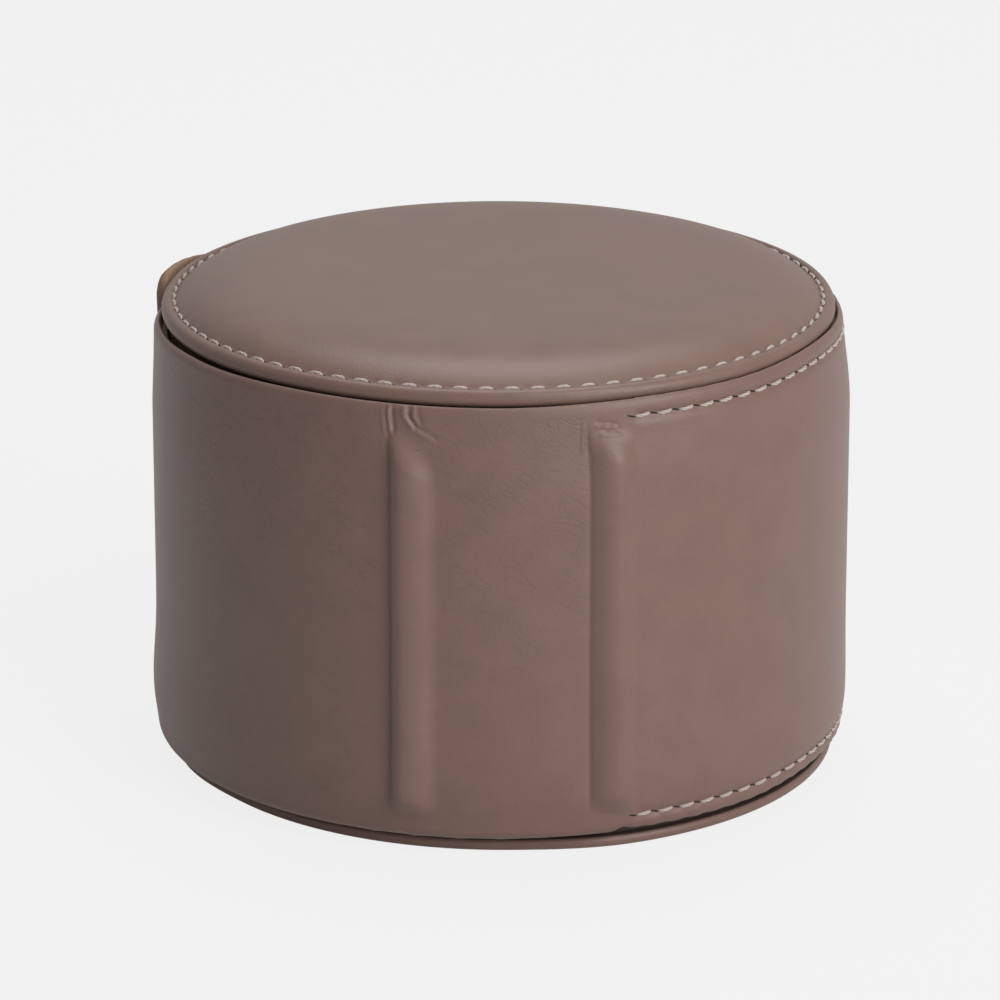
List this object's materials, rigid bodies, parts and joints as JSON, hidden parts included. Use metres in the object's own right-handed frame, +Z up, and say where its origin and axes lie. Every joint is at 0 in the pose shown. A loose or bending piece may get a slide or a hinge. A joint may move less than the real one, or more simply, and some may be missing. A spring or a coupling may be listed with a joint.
{
  "type": "single watch roll",
  "caption": "Upright round leather watch roll with padded end discs, two ribs on its side, a stitched flap that unrolls round the drum, and a watch cushion inside.",
  "frame": {"origin": "centre of the base disc's flat underside, on the drum's axis", "axes": "+Z up the drum's axis, -Y towards the front with the two ribs, +X towards the flap's side"},
  "size_m": [0.1001, 0.1001, 0.0704],
  "materials": {
    "leather": "satin",
    "lining": "matte",
    "board": "matte",
    "foam": "matte",
    "thread": "matte",
    "stay": "matte",
    "magnet": "satin",
    "suede": "matte"
  },
  "bodies": {
    "drum": {"base_cover": "leather", "base_board": "board", "base_lining": "lining", "base_thread": "thread", "top_cover": "leather", "top_pad": "foam", "top_board": "board", "top_lining": "lining", "top_thread": "thread", "side_leather": "leather", "side_stiffener": "board", "side_lining": "lining", "spine_stay_left": "stay", "spine_stay_right": "stay", "tongue_leather": "leather", "tongue_stiffener": "board", "tongue_lining": "lining", "tongue_magnet_lower": "magnet", "tongue_magnet_upper": "magnet"},
    "flap_front": {"flap_front_leather": "leather", "flap_front_stiffener": "board", "flap_front_lining": "lining", "flap_front_thread_lower": "thread", "flap_front_thread_upper": "thread"},
    "flap_side": {"flap_side_leather": "leather", "flap_side_stiffener": "board", "flap_side_lining": "lining", "flap_side_thread_lower": "thread", "flap_side_thread_upper": "thread"},
    "flap_back": {"flap_back_leather": "leather", "flap_back_stiffener": "board", "flap_back_lining": "lining", "flap_back_thread_lower": "thread", "flap_back_thread_upper": "thread"},
    "flap_end": {"flap_end_leather": "leather", "flap_end_stiffener": "board", "flap_end_lining": "lining", "flap_end_thread_lower": "thread", "flap_end_thread_upper": "thread", "flap_end_thread_edge": "thread", "flap_magnet_lower": "magnet", "flap_magnet_upper": "magnet"},
    "cushion": {"cushion_core": "foam", "cushion_cover": "suede", "cushion_cap_lower": "suede", "cushion_cap_upper": "suede"}
  },
  "joints": [
    {"name": "flap_front_hinge", "type": "hinge", "parent": "drum", "child": "flap_front", "pos_m": [0.01897, -0.04626, 0.03385], "axis": [0, 0, -1], "range_deg": [0, 60]},
    {"name": "flap_side_hinge", "type": "hinge", "parent": "flap_front", "child": "flap_side", "pos_m": [0.04954, -0.00676, 0.03385], "axis": [0, 0, -1], "range_deg": [0, 60]},
    {"name": "flap_back_hinge", "type": "hinge", "parent": "flap_side", "child": "flap_back", "pos_m": [0.03068, 0.03948, 0.03385], "axis": [0, 0, -1], "range_deg": [0, 60]},
    {"name": "flap_end_hinge", "type": "hinge", "parent": "flap_back", "child": "flap_end", "pos_m": [-0.01879, 0.04634, 0.03385], "axis": [0, 0, -1], "range_deg": [0, 60]},
    {"name": "cushion_slide", "type": "slide", "parent": "drum", "child": "cushion", "axis": [0.6136, 0.7896, 0], "range_m": [0, 0.08]}
  ],
  "couplings": [
    {"joint": "flap_side_hinge", "follows": "flap_front_hinge", "ratio": 1},
    {"joint": "flap_back_hinge", "follows": "flap_front_hinge", "ratio": 1},
    {"joint": "flap_end_hinge", "follows": "flap_front_hinge", "ratio": 1},
    {"joint": "cushion_slide", "follows": "flap_front_hinge", "m_per_rad": 0.0763}
  ]
}
